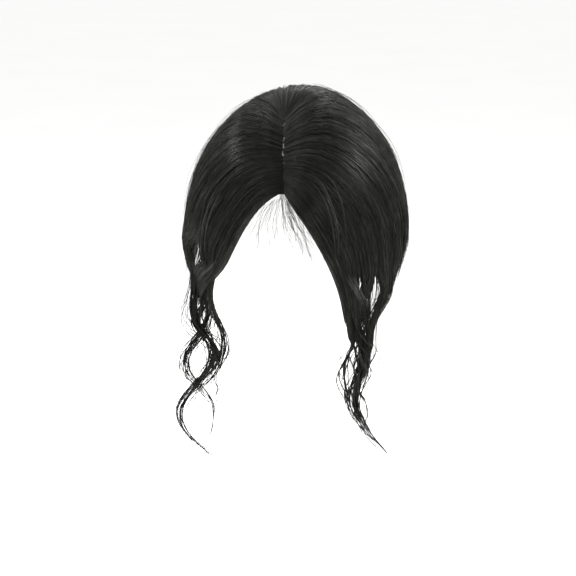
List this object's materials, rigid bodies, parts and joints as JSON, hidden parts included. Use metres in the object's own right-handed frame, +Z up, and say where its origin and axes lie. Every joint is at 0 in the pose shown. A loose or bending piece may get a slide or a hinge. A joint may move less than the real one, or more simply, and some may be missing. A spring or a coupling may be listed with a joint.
{
  "type": "hair topper",
  "caption": "Worn hair topper with a middle parting, curtain hair that frames the face and wavy tendrils, on a curved net base with clips.",
  "frame": {"origin": "underside of the net base at the crown, where it seats on the head", "axes": "+Z up, -Y the way the wearer faces, +X to the right of a viewer who faces the wearer"},
  "size_m": [0.1955, 0.2122, 0.3266],
  "materials": {
    "base_net": "fine knotted net",
    "parting_strip": "matt pale net",
    "left_hair": "near-black hair with a soft sheen along the strands",
    "right_hair": "near-black hair with a soft sheen along the strands",
    "back_hair": "near-black hair with a soft sheen along the strands",
    "clip_front_left": "black satin coat",
    "clip_front_right": "black satin coat",
    "clip_back_left": "black satin coat",
    "clip_back_right": "black satin coat"
  },
  "bodies": {
    "root": {"base_net": "base_net", "parting_strip": "parting_strip", "left_hair": "left_hair", "right_hair": "right_hair", "back_hair": "back_hair", "clip_front_left": "clip_front_left", "clip_front_right": "clip_front_right", "clip_back_left": "clip_back_left", "clip_back_right": "clip_back_right"}
  },
  "joints": []
}
